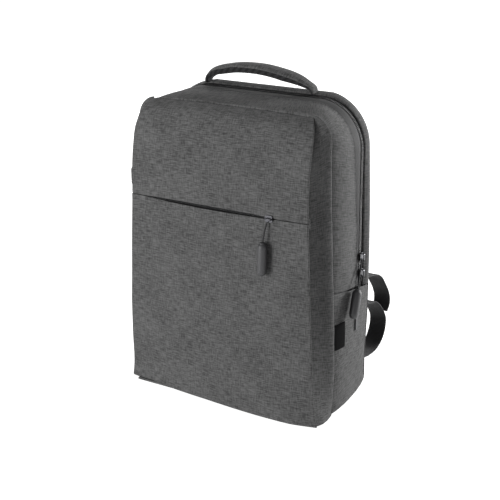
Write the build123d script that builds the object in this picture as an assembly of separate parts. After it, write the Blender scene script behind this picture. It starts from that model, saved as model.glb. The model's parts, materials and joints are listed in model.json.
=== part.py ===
from build123d import *
import math
import os

# A soft laptop backpack with a zipped front cover, a front pocket and two shoulder straps.
# Millimetres. X is to the wearer's left as seen from the front (right in a front view),
# Y runs from the front pocket (-Y) to the wearer's back (+Y), Z is up, and the base is z = 0.

# ---- body of the bag -------------------------------------------------------------------
HALF_WIDTH = 148.0            # outer half width of the main gusset
REAR_HALF_WIDTH = 146.0       # where the gusset meets the back panel
Y_SEAM = -35.0                # seam between the pocket and the main gusset
Y_ZIP = 41.0                  # middle of the main zipper
Y_BACK = 62.0                 # seam between the gusset and the back panel
TOP_AT_SEAM = 397.0
TOP_AT_ZIP = 404.0
TOP_AT_BACK = 407.0
CORNER_AT_SEAM = 30.0         # top corner radius, small at the front and large at the zipper
CORNER_AT_ZIP = 62.0
CORNER_AT_BACK = 66.0
FOOT_RADIUS = 8.0             # bottom corner radius, larger at the back
FOOT_RADIUS_BACK = 20.0
SHELL = 3.2                   # outer cloth with its foam
LINING = 0.8

# ---- where the front cover folds away ---------------------------------------------------
HINGE_Y = -8.0
HINGE_Z = 157.0               # height of the lower ends of the main zipper
COVER_ANGLE = 30.0
FOLD_GAP = 1.0

# ---- front pocket -----------------------------------------------------------------------
POCKET_HALF = 140.0           # outer face of the set-back pocket gusset
PANEL_HALF = 143.0            # the front panel's folded edges stand out past the gusset
PANEL_THICKNESS = 3.4
POCKET_ZIP_Z = 270.5
POCKET_ZIP_LEFT = -112.0
POCKET_ZIP_RIGHT = 90.0
POCKET_SLOT = 4.4             # height of the slot between the two cloth lips

# ---- zippers ----------------------------------------------------------------------------
COIL_GAP = 1.2                # open line between the two halves, where a slider's neck runs
COIL_WIDTH = 2.4
COIL_THICKNESS = 2.2
TAPE_THICKNESS = 1.2
TAPE_SHOWN_FRONT = 12.0       # main zipper's tape left open between coil and gusset
TAPE_SHOWN_REAR = 3.5
SLIDER_UPPER_Z = 200.0
SLIDER_LOWER_Z = 178.0
SLIDER_LENGTH = 11.0
SLIDER_WIDTH = 8.6
SLIDER_PLATE = 1.4
NECK = 0.7
MAIN_LIFT = 2.2               # height of a slider's outer plate above the middle of its coil
POCKET_LIFT = 3.8             # the pocket's slider stands clear of the cloth lips
BRIDGE = 3.6                  # height of the wire bridge that a pull hangs from

# ---- pulls ------------------------------------------------------------------------------
PULL_CORD = 2.2
TUBE_RADIUS = 6.2
TUBE_LENGTH = 38.0
POCKET_SLIDER_X = 79.0

# ---- handle -----------------------------------------------------------------------------
HANDLE_X = -9.0
HANDLE_Y = 50.0
HANDLE_FOOT = 8.0             # radius of the rounded sewn ends
HANDLE_DEPTH = 28.0
HANDLE_PAD = 8.5
HANDLE_UNDERSIDE = 2.6

# ---- back and straps --------------------------------------------------------------------
BACK_PANEL = 6.0
BACK_PAD = 5.0
YOKE = 2.4                    # reinforcing strip that the straps are sewn to
STRAP_X = 68.0                # middle of each strap at its top end
STRAP_SPLAY = 13.0            # degrees that each strap leans outwards
STRAP_TAPER = ((400, 31), (310, 31), (205, 20), (170, 15))  # height and half width down each strap
STRAP_WIDTH = 62.0
STRAP_THICKNESS = 11.0
STRAP_TOP_Z = 374.0
WEBBING_WIDTH = 25.0
WEBBING = 1.6
WEB_X = 117.0                 # middle of the webbing and the buckle
BUCKLE_WIDTH = 34.0
BUCKLE_BAR = 3.0

# ---- charging outlet on the pocket's left wall ------------------------------------------
OUTLET_Y = -47.0
OUTLET_Z = 289.0

FAR = 500.0                 # larger than the bag, for cutting blocks


def section_values(y):
    """Half width, top height and corner radii of the gusset at depth y."""
    if y <= Y_ZIP:
        part = (y - Y_SEAM) / (Y_ZIP - Y_SEAM)
        top = TOP_AT_SEAM + part * (TOP_AT_ZIP - TOP_AT_SEAM)
        corner = CORNER_AT_SEAM + part * (CORNER_AT_ZIP - CORNER_AT_SEAM)
        return HALF_WIDTH, top, corner, FOOT_RADIUS
    part = (y - Y_ZIP) / (Y_BACK - Y_ZIP)
    half = HALF_WIDTH + part * (REAR_HALF_WIDTH - HALF_WIDTH)
    top = TOP_AT_ZIP + part * (TOP_AT_BACK - TOP_AT_ZIP)
    corner = CORNER_AT_ZIP + part * (CORNER_AT_BACK - CORNER_AT_ZIP)
    foot = FOOT_RADIUS + part * (FOOT_RADIUS_BACK - FOOT_RADIUS)
    return half, top, corner, foot


def outline(y, inset=0.0):
    """The gusset's outline at depth y, drawn in by inset, as a face across the bag."""
    half, top, corner, foot = section_values(y)
    height = top - 2 * inset
    face = Pos(0, inset + height / 2) * Rectangle(2 * (half - inset), height)
    face = fillet(face.vertices().sort_by(Axis.Y)[-2:], corner - inset)
    face = fillet(face.vertices().sort_by(Axis.Y)[:2], foot - inset)
    return Plane.XZ.offset(-y) * face


def solid_between(y_front, y_rear, inset):
    return loft([outline(y_front, inset), outline(y_rear, inset)])


def band(y_front, y_rear, outer, inner):
    """A strip of gusset between two depths, from one inset to another."""
    return solid_between(y_front, y_rear, outer) - solid_between(y_front, y_rear, inner)


def block(x_low, x_high, y_low, y_high, z_low, z_high):
    middle = Pos((x_low + x_high) / 2, (y_low + y_high) / 2, (z_low + z_high) / 2)
    return middle * Box(x_high - x_low, y_high - y_low, z_high - z_low)


def side_prism(points, x_low, x_high):
    """A solid whose outline is drawn in the Y-Z plane and runs along X."""
    face = make_face(Polyline(*points, close=True))
    return Pos(x_low, 0, 0) * extrude(Plane.YZ * face, x_high - x_low)


# The cover keeps what is above the fold, and the base what is below a slope that falls away
# towards the front, as steep as the cover opens. The cloth between them is the fold.
slope = math.tan(math.radians(COVER_ANGLE))
FOLD_TOP = HINGE_Z - FOLD_GAP
front_limit = -100.0
fold_front = FOLD_TOP - (HINGE_Y - front_limit) * slope
cover_zone = block(-FAR, FAR, -FAR, FAR, HINGE_Z + FOLD_GAP, FAR)
base_zone = side_prism(
    [(front_limit, -10), (FAR, -10), (FAR, FOLD_TOP), (HINGE_Y, FOLD_TOP), (front_limit, fold_front)],
    -FAR, FAR)
fold_zone = side_prism(
    [(HINGE_Y - 3.0, FOLD_TOP + 0.3), (front_limit, FOLD_TOP + 0.3), (front_limit, fold_front + 0.6),
     (HINGE_Y - 3.0, FOLD_TOP - 3.0 * slope + 0.6)],
    -FAR, FAR)
rear_zone = block(-FAR, FAR, -FAR, FAR, HINGE_Z, FAR)

nodes = {}

# ---- gussets and linings ----------------------------------------------------------------
COVER_EDGE = Y_ZIP - COIL_GAP / 2 - COIL_WIDTH - TAPE_SHOWN_FRONT
REAR_EDGE = Y_ZIP + COIL_GAP / 2 + COIL_WIDTH + TAPE_SHOWN_REAR
main_band = band(Y_SEAM, COVER_EDGE, 0, SHELL)
main_lining = band(Y_SEAM, COVER_EDGE, SHELL, SHELL + LINING)
nodes["cover_gusset"] = main_band & cover_zone
nodes["cover_lining"] = main_lining & cover_zone

lower_front = band(Y_SEAM, Y_ZIP, 0, SHELL)
lower_rear = band(Y_ZIP, Y_BACK, 0, SHELL)
nodes["lower_gusset"] = (lower_front + lower_rear) & base_zone
lining_front = band(Y_SEAM, Y_ZIP, SHELL, SHELL + LINING)
lining_rear = band(Y_ZIP, Y_BACK - LINING, SHELL, SHELL + LINING)
nodes["lower_lining"] = (lining_front + lining_rear) & base_zone
nodes["rear_gusset"] = band(REAR_EDGE, Y_BACK, 0, SHELL) & rear_zone
nodes["rear_lining"] = band(REAR_EDGE, Y_BACK - LINING, SHELL, SHELL + LINING) & rear_zone
nodes["back_lining"] = solid_between(Y_BACK - LINING, Y_BACK, SHELL)
nodes["base_board"] = block(-116, 116, Y_SEAM + 6, Y_BACK - 4, SHELL + LINING, SHELL + LINING + 2.4)

# ---- back panel and its padding ---------------------------------------------------------
back_outline = outline(Y_BACK)
back_edge = Pos(0, BACK_PANEL, 0) * outline(Y_BACK, 4.0)
nodes["back_panel"] = loft([back_outline, back_edge])
pad_outline = RectangleRounded(104, 280, 22)
pads = [Plane.XZ.offset(-Y_BACK - BACK_PANEL) * Pos(x, 196) * pad_outline for x in (-62, 62)]
nodes["back_padding"] = Compound([extrude(pad, -BACK_PAD) for pad in pads])
nodes["strap_yoke"] = block(-112, 112, Y_BACK + BACK_PANEL, Y_BACK + BACK_PANEL + YOKE, 348, 384)

# ---- laptop sleeve ----------------------------------------------------------------------
SLEEVE_Y = 41.0
SLEEVE_TOP = 262.0
sleeve_face = Pos(0, (8 + SLEEVE_TOP) / 2) * RectangleRounded(272, SLEEVE_TOP - 8, 14)
sleeve = extrude(Plane.XZ.offset(-SLEEVE_Y - 2.2) * sleeve_face, 2.2)
nodes["laptop_sleeve"] = sleeve
strap_path = [(Y_BACK - LINING - 1.0, 287), (SLEEVE_Y - 3, 268), (SLEEVE_Y - 3, 232)]
strap_line = FilletPolyline(*strap_path, radius=8)
strap_face = Plane.YZ * trace(strap_line, 1.6)
nodes["sleeve_strap"] = Pos(-19, 0, 0) * extrude(strap_face, 38)

# ---- front pocket -----------------------------------------------------------------------
front_line = FilletPolyline(
    (Y_SEAM - 1.4, TOP_AT_SEAM - 3), (-58, 386), (-69, 345), (-71, 270), (-72.5, 110), (-75.5, 40), (-76, 0),
    radius=16)
front_skin = Plane.YZ * trace(front_line, PANEL_THICKNESS)
front_panel = Pos(-PANEL_HALF, 0, 0) * extrude(front_skin, 2 * PANEL_HALF)
panel_face = Pos(0, (TOP_AT_SEAM - 2) / 2) * Rectangle(2 * PANEL_HALF, TOP_AT_SEAM - 2)
panel_face = fillet(panel_face.vertices().sort_by(Axis.Y)[-2:], CORNER_AT_SEAM - 3)
front_shape = extrude(Plane.XZ.offset(-Y_SEAM) * panel_face, 80)
front_panel = front_panel & front_shape
upper_zone = block(-FAR, FAR, -FAR, FAR, POCKET_ZIP_Z + POCKET_SLOT / 2, FAR)
middle_zone = block(-FAR, FAR, -FAR, FAR, HINGE_Z + FOLD_GAP, POCKET_ZIP_Z - POCKET_SLOT / 2)
nodes["front_panel_upper"] = front_panel & upper_zone
slot_left = block(-FAR, POCKET_ZIP_LEFT - 3.5, -FAR, FAR, HINGE_Z + FOLD_GAP, POCKET_ZIP_Z + POCKET_SLOT / 2)
slot_right = block(POCKET_ZIP_RIGHT + 3.5, FAR, -FAR, FAR, HINGE_Z + FOLD_GAP, POCKET_ZIP_Z + POCKET_SLOT / 2)
nodes["front_panel_middle"] = front_panel & (middle_zone + slot_left + slot_right)
nodes["front_panel_lower"] = front_panel & base_zone

pocket_depth = [
    (Y_SEAM, 0.0), (Y_SEAM, 388), (-53, 382), (-65, 343), (-69.0, 270), (-70.4, 110), (-73.3, 40), (-73.8, 0.0)]
GUSSET_CLOTH = 2.4
pocket_sides = {}
for side, sign in (("left", -1), ("right", 1)):
    low, high = sorted((sign * POCKET_HALF, sign * (POCKET_HALF - GUSSET_CLOTH)))
    wall = side_prism(pocket_depth, low, high) & front_shape
    pocket_sides[side] = wall
    nodes["pocket_gusset_" + side] = wall & cover_zone
    nodes["pocket_gusset_lower_" + side] = wall & base_zone
floor_block = block(-POCKET_HALF + GUSSET_CLOTH, POCKET_HALF - GUSSET_CLOTH, -71.8, Y_SEAM, 0, 2.6)
nodes["pocket_floor"] = floor_block
divider = solid_between(Y_SEAM, Y_SEAM + 1.0, SHELL + LINING + 0.1)
nodes["pocket_divider"] = divider & cover_zone
nodes["pocket_divider_lower"] = divider & base_zone

fold_parts = [front_panel, main_band, pocket_sides["left"], pocket_sides["right"], divider]
fold_solids = []
for piece in fold_parts:
    fold_solids.extend((piece & fold_zone).solids())
nodes["fold_cloth"] = Compound(fold_solids)

# ---- front pocket zipper ----------------------------------------------------------------
pocket_length = POCKET_ZIP_RIGHT - POCKET_ZIP_LEFT
pocket_middle = (POCKET_ZIP_RIGHT + POCKET_ZIP_LEFT) / 2
SKIN_BACK = -71.0 + PANEL_THICKNESS / 2
TAPE_FRONT = SKIN_BACK + 0.5
coil_front = SKIN_BACK - 0.9
coils = []
tapes = []
for sign in (1, -1):
    inner = POCKET_ZIP_Z + sign * COIL_GAP / 2
    z_low, z_high = sorted((inner, inner + sign * 1.4))
    coils.append(block(POCKET_ZIP_LEFT, POCKET_ZIP_RIGHT, coil_front, TAPE_FRONT, z_low, z_high))
    z_low, z_high = sorted((inner, inner + sign * 9.0))
    tapes.append(block(POCKET_ZIP_LEFT - 3, POCKET_ZIP_RIGHT + 3, TAPE_FRONT, TAPE_FRONT + 0.8, z_low, z_high))
nodes["pocket_zipper_coil"] = Compound(coils)
nodes["pocket_zipper_tape"] = Compound(tapes)

# ---- main zipper ------------------------------------------------------------------------
coil_edges = (Y_ZIP - COIL_GAP / 2 - COIL_WIDTH, Y_ZIP - COIL_GAP / 2)
tape_outer = 0.6
tape_inner = tape_outer + TAPE_THICKNESS
coil_outer = tape_outer - (COIL_THICKNESS - TAPE_THICKNESS) / 2
coil_inner = coil_outer + COIL_THICKNESS
nodes["zipper_coil_front"] = band(coil_edges[0], coil_edges[1], coil_outer, coil_inner) & cover_zone
nodes["zipper_tape_front"] = band(COVER_EDGE, coil_edges[0], tape_outer, tape_inner) & cover_zone
rear_coil = band(Y_ZIP + COIL_GAP / 2, Y_ZIP + COIL_GAP / 2 + COIL_WIDTH, coil_outer, coil_inner)
nodes["zipper_coil_rear"] = rear_coil & cover_zone
rear_tape = band(Y_ZIP + COIL_GAP / 2 + COIL_WIDTH, REAR_EDGE, tape_outer, tape_inner)
nodes["zipper_tape_rear"] = rear_tape & cover_zone
stop = block(HALF_WIDTH - 4.2, HALF_WIDTH + 0.4, Y_ZIP + COIL_GAP / 2 + 0.2, Y_ZIP + 4.6, FOLD_TOP, HINGE_Z + FOLD_GAP)
nodes["zipper_stops"] = Compound(stop.solids() + mirror(stop, Plane.YZ).solids())


def slider(lift):
    """A zipper slider in its own frame: travel +X, outside +Z, its outer plate at height lift."""
    plate = Pos(0, 0, lift) * extrude(RectangleRounded(SLIDER_LENGTH, SLIDER_WIDTH, 2.4), SLIDER_PLATE)
    under = Pos(0, 0, -3.2) * extrude(RectangleRounded(SLIDER_LENGTH, SLIDER_WIDTH, 2.4), SLIDER_PLATE)
    neck = Pos(3.0, 0, (lift - 2.0) / 2) * Box(3.0, NECK, lift + 2.4)
    foot = lift + SLIDER_PLATE - 0.2
    top = foot + BRIDGE
    bridge_line = FilletPolyline((-4.2, foot), (-4.2, top), (4.2, top), (4.2, foot), radius=1.6)
    bridge_face = Plane.XZ * trace(bridge_line, 1.2)
    bridge = Pos(0, 1.1, 0) * extrude(bridge_face, 2.2)
    return plate + under + neck + bridge


def tube_pull(top, bottom, radius):
    """The rubber tube of a pull: a capsule between two points."""
    axis = Vector(*bottom) - Vector(*top)
    direction = axis.normalized()
    start = Vector(*top) + direction * radius
    straight = axis.length - 2 * radius
    rod = Plane(start, z_dir=direction) * extrude(Circle(radius), straight)
    ends = [Pos(*start) * Sphere(radius), Pos(*(start + direction * straight)) * Sphere(radius)]
    return rod + ends[0] + ends[1]


def cord_run(points, radii, thickness):
    """A round cord along straight runs joined by tangent arcs."""
    path = FilletPolyline(*points, radius=radii)
    start = path @ 0
    return sweep(Plane(start, z_dir=path % 0) * Circle(thickness / 2), path=path)


MAIN_FACE_X = HALF_WIDTH - tape_outer - TAPE_THICKNESS / 2
upper_plane = Plane((MAIN_FACE_X, Y_ZIP, SLIDER_UPPER_Z), x_dir=(0, 0, 1), z_dir=(1, 0, 0))
lower_plane = Plane((MAIN_FACE_X, Y_ZIP, SLIDER_LOWER_Z), x_dir=(0, 0, -1), z_dir=(1, 0, 0))
pocket_plane = Plane((POCKET_SLIDER_X, coil_front + 0.8, POCKET_ZIP_Z), x_dir=(-1, 0, 0), z_dir=(0, -1, 0))
nodes["main_slider_upper"] = upper_plane * slider(MAIN_LIFT)
nodes["main_slider_lower"] = lower_plane * slider(MAIN_LIFT)
nodes["pocket_slider"] = pocket_plane * slider(POCKET_LIFT)

# ---- pulls: a short cord through the slider's bridge and a rubber tube -------------------
EYE_X = MAIN_FACE_X + MAIN_LIFT + SLIDER_PLATE + BRIDGE / 2
upper_tube = ((159.5, 13.5, 165.0), (160.5, 0.5, 129.0))
nodes["main_pull_tube_upper"] = tube_pull(upper_tube[0], upper_tube[1], TUBE_RADIUS)
upper_cord = [(EYE_X, Y_ZIP - 3.2, SLIDER_UPPER_Z - 1.5), (EYE_X + 2.0, 29.0, 182.0), (159.45, 14.0, 165.6)]
nodes["main_pull_cord_upper"] = cord_run(upper_cord, [14.0], PULL_CORD)
tab_face = Pos(0, -20.0) * RectangleRounded(6.0, 40.0, 2.2)
tab_plane = Plane((150.6, 25.0, 143.5), x_dir=(0, 1, 0), z_dir=(1, 0, 0))
nodes["main_pull_tab_lower"] = tab_plane * extrude(tab_face, 3.2)
lower_cord = [(EYE_X, Y_ZIP - 3.2, SLIDER_LOWER_Z - 1.5), (EYE_X, 29.5, 158.0), (152.2, 25.2, 144.2)]
nodes["main_pull_cord_lower"] = cord_run(lower_cord, [16.0], PULL_CORD)
POCKET_EYE_Y = coil_front + 0.8 - POCKET_LIFT - SLIDER_PLATE - BRIDGE / 2
pocket_tube = ((74.5, -81.5, 241.0), (73.5, -82.0, 197.0))
nodes["pocket_pull_tube"] = tube_pull(pocket_tube[0], pocket_tube[1], TUBE_RADIUS)
pocket_cord = [(POCKET_SLIDER_X - 1.0, POCKET_EYE_Y, POCKET_ZIP_Z - 3.6), (76.5, -80.0, 256.0), (74.5, -81.5, 241.4)]
nodes["pocket_pull_cord"] = cord_run(pocket_cord, [16.0], PULL_CORD)

# ---- handle: a padded arch with a webbing underside, sewn down at both ends --------------
HANDLE_PIVOT_Z = 415.4
arch = [(-84, 407.2), (-80, 417.5), (-46, 428.5), (-4, 431.5), (38, 426.5), (72, 417.5), (82, 407.2)]
arch_radii = [9.0, 70.0, 90.0, 90.0, 9.0]


def handle_layer(drop, thickness):
    """One layer of the handle, drop below the arch's middle line, shaped by its side outline."""
    line = FilletPolyline(*[(x + HANDLE_X, z - drop) for x, z in arch], radius=arch_radii)
    strip = Plane.XZ * trace(line, thickness)
    solid = Pos(0, HANDLE_Y + HANDLE_DEPTH / 2, 0) * extrude(strip, HANDLE_DEPTH)
    foot = Pos(HANDLE_Y, HANDLE_PIVOT_Z) * Circle(HANDLE_FOOT)
    half = HANDLE_DEPTH / 2
    grip = make_face(Polyline(
        (HANDLE_Y - HANDLE_FOOT, HANDLE_PIVOT_Z), (HANDLE_Y - half, 425.0), (HANDLE_Y - half, 445.0),
        (HANDLE_Y + half, 445.0), (HANDLE_Y + half, 425.0), (HANDLE_Y + HANDLE_FOOT, HANDLE_PIVOT_Z), close=True))
    side_view = extrude(Plane.YZ * (foot + grip), 130.0, both=True)
    return solid & side_view


nodes["handle_grip"] = handle_layer(0.0, HANDLE_PAD)
underside = handle_layer(HANDLE_PAD / 2 + HANDLE_UNDERSIDE / 2, HANDLE_UNDERSIDE)
nodes["handle_underside"] = (underside - nodes["handle_grip"]).solids().sort_by(SortBy.VOLUME)[-1]

# ---- shoulder straps, their webbing and buckles, on both sides ---------------------------
STRAP_FACE_Y = Y_BACK + BACK_PANEL + BACK_PAD
STRAP_ROOT_Y = Y_BACK + BACK_PANEL + YOKE + 0.4
strap_line = FilletPolyline(
    (STRAP_ROOT_Y + 4.8, STRAP_TOP_Z + 14), (STRAP_FACE_Y + 15, 322), (STRAP_FACE_Y + 15, 255),
    (STRAP_FACE_Y + 9, 176), radius=60)
strap_skin = Plane.YZ * trace(strap_line, STRAP_THICKNESS)
strap_taper = [(half, z) for z, half in STRAP_TAPER] + [(-half, z) for z, half in reversed(STRAP_TAPER)]
strap_outline = Pos(0, 200, 0) * extrude(Plane.XZ * make_face(Polyline(*strap_taper, close=True)), 200)
strap_solid = extrude(strap_skin, STRAP_WIDTH / 2, both=True) & strap_outline
BUCKLE_Y = STRAP_FACE_Y + 11.0
BUCKLE_Z = 150.0
loop_points = [
    (BUCKLE_Y - 1.0, 177), (BUCKLE_Y + 3.8, 170), (BUCKLE_Y + 3.8, 156.6), (BUCKLE_Y - 3.8, 156.6),
    (BUCKLE_Y - 3.8, 170), (BUCKLE_Y - 2.6, 175.2)]
main_run = [(BUCKLE_Y + 2, 132), (92, 118), (110, 107), (136, 101), (163, 70), (160, 52), (137, 30), (104, 31), (71.4, 36)]
tail_run = [(BUCKLE_Y + 13, 149), (118, 146), (143, 138), (171, 106), (174, 88), (165, 76)]


def ribbon(points, radii, width, thickness):
    """A flat strip that bends in the Y-Z plane and is width wide along X."""
    line = FilletPolyline(*points, radius=radii)
    return extrude(Plane.YZ * trace(line, thickness), width / 2, both=True)


webbing_loop = ribbon(loop_points, [2.4, 2.4, 2.4, 2.4], WEBBING_WIDTH, WEBBING)
webbing_main = ribbon(main_run, [9, 12, 14, 18, 10, 16, 20], WEBBING_WIDTH, WEBBING)
webbing_tail = ribbon(tail_run, [14, 20, 18, 9], WEBBING_WIDTH, WEBBING)
buckle_face = RectangleRounded(BUCKLE_WIDTH, 26, 4)
for slot_z in (6.2, -6.2):
    buckle_face -= Pos(0, slot_z) * RectangleRounded(BUCKLE_WIDTH - 7, 7.4, 1.6)
buckle_solid = Pos(0, BUCKLE_BAR / 2, 0) * extrude(Plane.XZ * buckle_face, BUCKLE_BAR)
tab_outline = make_face(Polyline((96, 14), (136, 14), (136, 26), (130, 50), (106, 50), close=True))

for side, sign in (("left", -1), ("right", 1)):
    swung = Pos(sign * STRAP_X, 0, STRAP_TOP_Z) * Rot(0, -sign * STRAP_SPLAY, 0) * Pos(0, 0, -STRAP_TOP_Z)
    below_top = block(-FAR, FAR, STRAP_ROOT_Y, FAR, 0, STRAP_TOP_Z)
    nodes["shoulder_strap_" + side] = (swung * strap_solid) & below_top
    place = Pos(sign * WEB_X, 0, 0)
    nodes["strap_loop_" + side] = place * webbing_loop
    nodes["ladder_buckle_" + side] = Pos(sign * WEB_X, BUCKLE_Y, BUCKLE_Z) * buckle_solid
    nodes["strap_webbing_" + side] = place * webbing_main
    nodes["webbing_tail_" + side] = place * webbing_tail
    tab = Plane.XZ.offset(-Y_BACK - BACK_PANEL) * tab_outline
    tab_solid = extrude(tab, -2.2)
    nodes["lower_tab_" + side] = tab_solid if sign > 0 else mirror(tab_solid, Plane.YZ)

# ---- charging outlet on the left wall of the pocket --------------------------------------
OUTLET_DEPTH = 6.5
OUTLET_TALL = 26.0
OUTLET_WIDE = 17.0
wall_x = -POCKET_HALF
outlet_face = RectangleRounded(OUTLET_WIDE, OUTLET_TALL, 5)
outlet_plane = Plane((wall_x, OUTLET_Y, OUTLET_Z), x_dir=(0, 1, 0), z_dir=(-1, 0, 0))
housing = outlet_plane * extrude(outlet_face, OUTLET_DEPTH)
cavity = Rectangle(7.4, 14.4)
housing -= outlet_plane * Pos(0, 0, 1.0) * extrude(cavity, OUTLET_DEPTH)
nodes["outlet_housing"] = housing
shell_face = Rectangle(7.2, 14.2) - Rectangle(6.2, 13.2)
shell = outlet_plane * Pos(0, 0, 1.0) * extrude(shell_face, OUTLET_DEPTH - 1.6)
nodes["outlet_shell"] = shell
nodes["outlet_tongue"] = outlet_plane * Pos(1.3, 0, 1.0) * extrude(Rectangle(1.6, 11.6), OUTLET_DEPTH - 3.0)
flap = outlet_plane * Pos(0, 0, OUTLET_DEPTH + 0.3) * extrude(outlet_face, 2.2)
nodes["outlet_flap"] = flap

# ---- blank label sewn into the side seam -------------------------------------------------
nodes["side_label"] = block(HALF_WIDTH + 0.02, HALF_WIDTH + 1.0, -25.0, 3.0, 90.0, 126.0)

os.makedirs("parts", exist_ok=True)
for name, shape in nodes.items():
    export_step(shape, "parts/" + name + ".step")
    print(name, round(shape.volume / 1000, 2), "cm3")
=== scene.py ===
# %% [markdown]
# # A grey laptop backpack
# The bag is cloth over foam, sewn from a few panels: a front panel with a zipped slit, narrow side gussets
# for the pocket, a long gusset strip that holds the main zipper, and a padded back. The CAD frame gives
# every size and every joint. Here each panel becomes its own sheet of cloth with crowned faces, rolled
# edges, seams and stitches.

# %% Load the frame
import json
import math
import bpy
import numpy as np
from mathutils import Matrix, Vector, noise

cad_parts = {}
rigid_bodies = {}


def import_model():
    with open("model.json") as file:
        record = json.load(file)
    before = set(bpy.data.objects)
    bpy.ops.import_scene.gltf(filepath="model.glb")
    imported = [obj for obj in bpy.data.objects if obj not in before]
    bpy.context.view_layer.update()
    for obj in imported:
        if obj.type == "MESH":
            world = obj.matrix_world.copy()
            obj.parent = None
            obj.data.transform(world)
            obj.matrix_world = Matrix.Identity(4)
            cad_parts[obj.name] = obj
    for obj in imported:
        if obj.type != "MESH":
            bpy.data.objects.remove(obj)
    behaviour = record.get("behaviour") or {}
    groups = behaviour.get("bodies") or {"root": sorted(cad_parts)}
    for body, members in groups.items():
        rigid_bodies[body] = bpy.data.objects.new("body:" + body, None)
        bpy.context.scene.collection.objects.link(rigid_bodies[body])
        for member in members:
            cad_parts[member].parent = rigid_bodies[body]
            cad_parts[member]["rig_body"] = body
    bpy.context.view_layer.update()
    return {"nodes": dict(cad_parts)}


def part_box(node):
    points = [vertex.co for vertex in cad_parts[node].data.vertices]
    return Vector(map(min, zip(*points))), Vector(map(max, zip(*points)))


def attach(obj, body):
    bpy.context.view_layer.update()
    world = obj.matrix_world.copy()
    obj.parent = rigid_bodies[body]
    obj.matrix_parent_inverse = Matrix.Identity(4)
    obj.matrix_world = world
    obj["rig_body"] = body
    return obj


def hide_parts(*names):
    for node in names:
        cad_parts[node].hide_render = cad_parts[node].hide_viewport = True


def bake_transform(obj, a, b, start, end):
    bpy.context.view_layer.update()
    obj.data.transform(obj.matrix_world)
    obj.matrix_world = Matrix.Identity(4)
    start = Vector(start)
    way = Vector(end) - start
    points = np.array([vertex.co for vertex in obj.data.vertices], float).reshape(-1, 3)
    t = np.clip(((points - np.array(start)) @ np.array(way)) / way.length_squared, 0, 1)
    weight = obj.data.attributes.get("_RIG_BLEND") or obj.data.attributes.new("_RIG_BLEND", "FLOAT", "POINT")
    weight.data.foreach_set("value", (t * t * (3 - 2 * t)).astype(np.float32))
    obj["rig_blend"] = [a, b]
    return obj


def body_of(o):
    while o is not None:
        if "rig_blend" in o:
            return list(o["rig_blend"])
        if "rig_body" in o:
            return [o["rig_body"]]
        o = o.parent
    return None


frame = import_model()

# %% [markdown]
# ## Camera
# The bag is seen from its front right corner and a little above, with a long lens, so that its upright
# edges stay nearly parallel. The camera is made first, because everything else is judged through it.

# %% Camera
MM = 0.001
VIEW_AZIMUTH = math.radians(32.7)
VIEW_DROP = math.radians(18.8)
VIEW_ROLL = math.radians(-0.4)
camera_data = bpy.data.cameras.new("camera")
camera_data.lens = 86.0
camera_data.sensor_width = 36.0
camera = bpy.data.objects.new("camera", camera_data)
bpy.context.scene.collection.objects.link(camera)
turn = Matrix.Rotation(VIEW_AZIMUTH, 3, "Z") @ Matrix.Rotation(math.pi / 2 - VIEW_DROP, 3, "X")
turn = turn @ Matrix.Rotation(VIEW_ROLL, 3, "Z")
camera.matrix_world = Matrix.Translation((0.821, -1.273, 0.710)) @ turn.to_4x4()
bpy.context.scene.camera = camera

# %% [markdown]
# ## Soft studio light and a pale floor
# The cloth is matt and dark, so it needs broad light from the front to show its weave, and one light from
# behind its right side that brightens the sides and draws out the rolled edges. The top is left a little
# darker than the front.

# %% Light and floor
def area_light(name, place, aim, size, power):
    data = bpy.data.lights.new(name, "AREA")
    data.shape = "DISK"
    data.size = size
    data.energy = power
    light = bpy.data.objects.new(name, data)
    direction = Vector(aim) - Vector(place)
    light.rotation_euler = direction.to_track_quat("-Z", "Y").to_euler()
    light.location = place
    bpy.context.scene.collection.objects.link(light)
    return light


bpy.context.scene.view_settings.view_transform = "Standard"
area_light("key", (-1.0, -2.3, 0.55), (0, 0, 0.2), 1.2, 57)
area_light("side", (1.45, 1.95, 0.75), (0, 0, 0.22), 0.9, 84)
area_light("back_fill", (-1.6, 1.6, 1.0), (0, 0, 0.22), 1.4, 10)
world = bpy.data.worlds.new("studio")
world.use_nodes = True
world.node_tree.nodes["Background"].inputs["Color"].default_value = (1, 1, 1, 1)
world.node_tree.nodes["Background"].inputs["Strength"].default_value = 0.36
bpy.context.scene.world = world

# %% [markdown]
# ## One helper for nodes and one for colour
# Every finish below is made of shader nodes. `add` puts one node in a material, sets what is given a value
# and links what is given a socket. `hexa` turns an sRGB colour, as seen on a screen, into the linear one
# that shaders use.

# %% Material helpers
def hexa(code):
    parts = [int(code[i:i + 2], 16) / 255 for i in (0, 2, 4)]
    return tuple(c / 12.92 if c <= 0.04045 else ((c + 0.055) / 1.055) ** 2.4 for c in parts) + (1.0,)


def add(material, kind, inputs=None, **settings):
    made = material.node_tree.nodes.new(kind)
    for name, value in settings.items():
        setattr(made, name, value)
    for name, value in (inputs or {}).items():
        socket = made.inputs[name]
        if isinstance(value, bpy.types.NodeSocket):
            material.node_tree.links.new(value, socket)
        else:
            socket.default_value = value
    return made


def blank(name):
    material = bpy.data.materials.new(name)
    material.use_nodes = True
    material.node_tree.nodes.clear()
    return material


def two_tone(material, factor, first, second):
    """A colour between two sRGB codes, mixed by a factor socket."""
    return add(material, "ShaderNodeMix", {0: factor, 6: hexa(first), 7: hexa(second)}, data_type="RGBA")


def bands(period_mm):
    """The wave texture's Scale for bands of a given width: it draws one band every 0.314 m at a scale of 1."""
    return math.pi / 10 / (period_mm * MM)


def finish_with(material, shader):
    out = add(material, "ShaderNodeOutputMaterial")
    material.node_tree.links.new(shader.outputs[0], out.inputs["Surface"])
    return material


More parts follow.
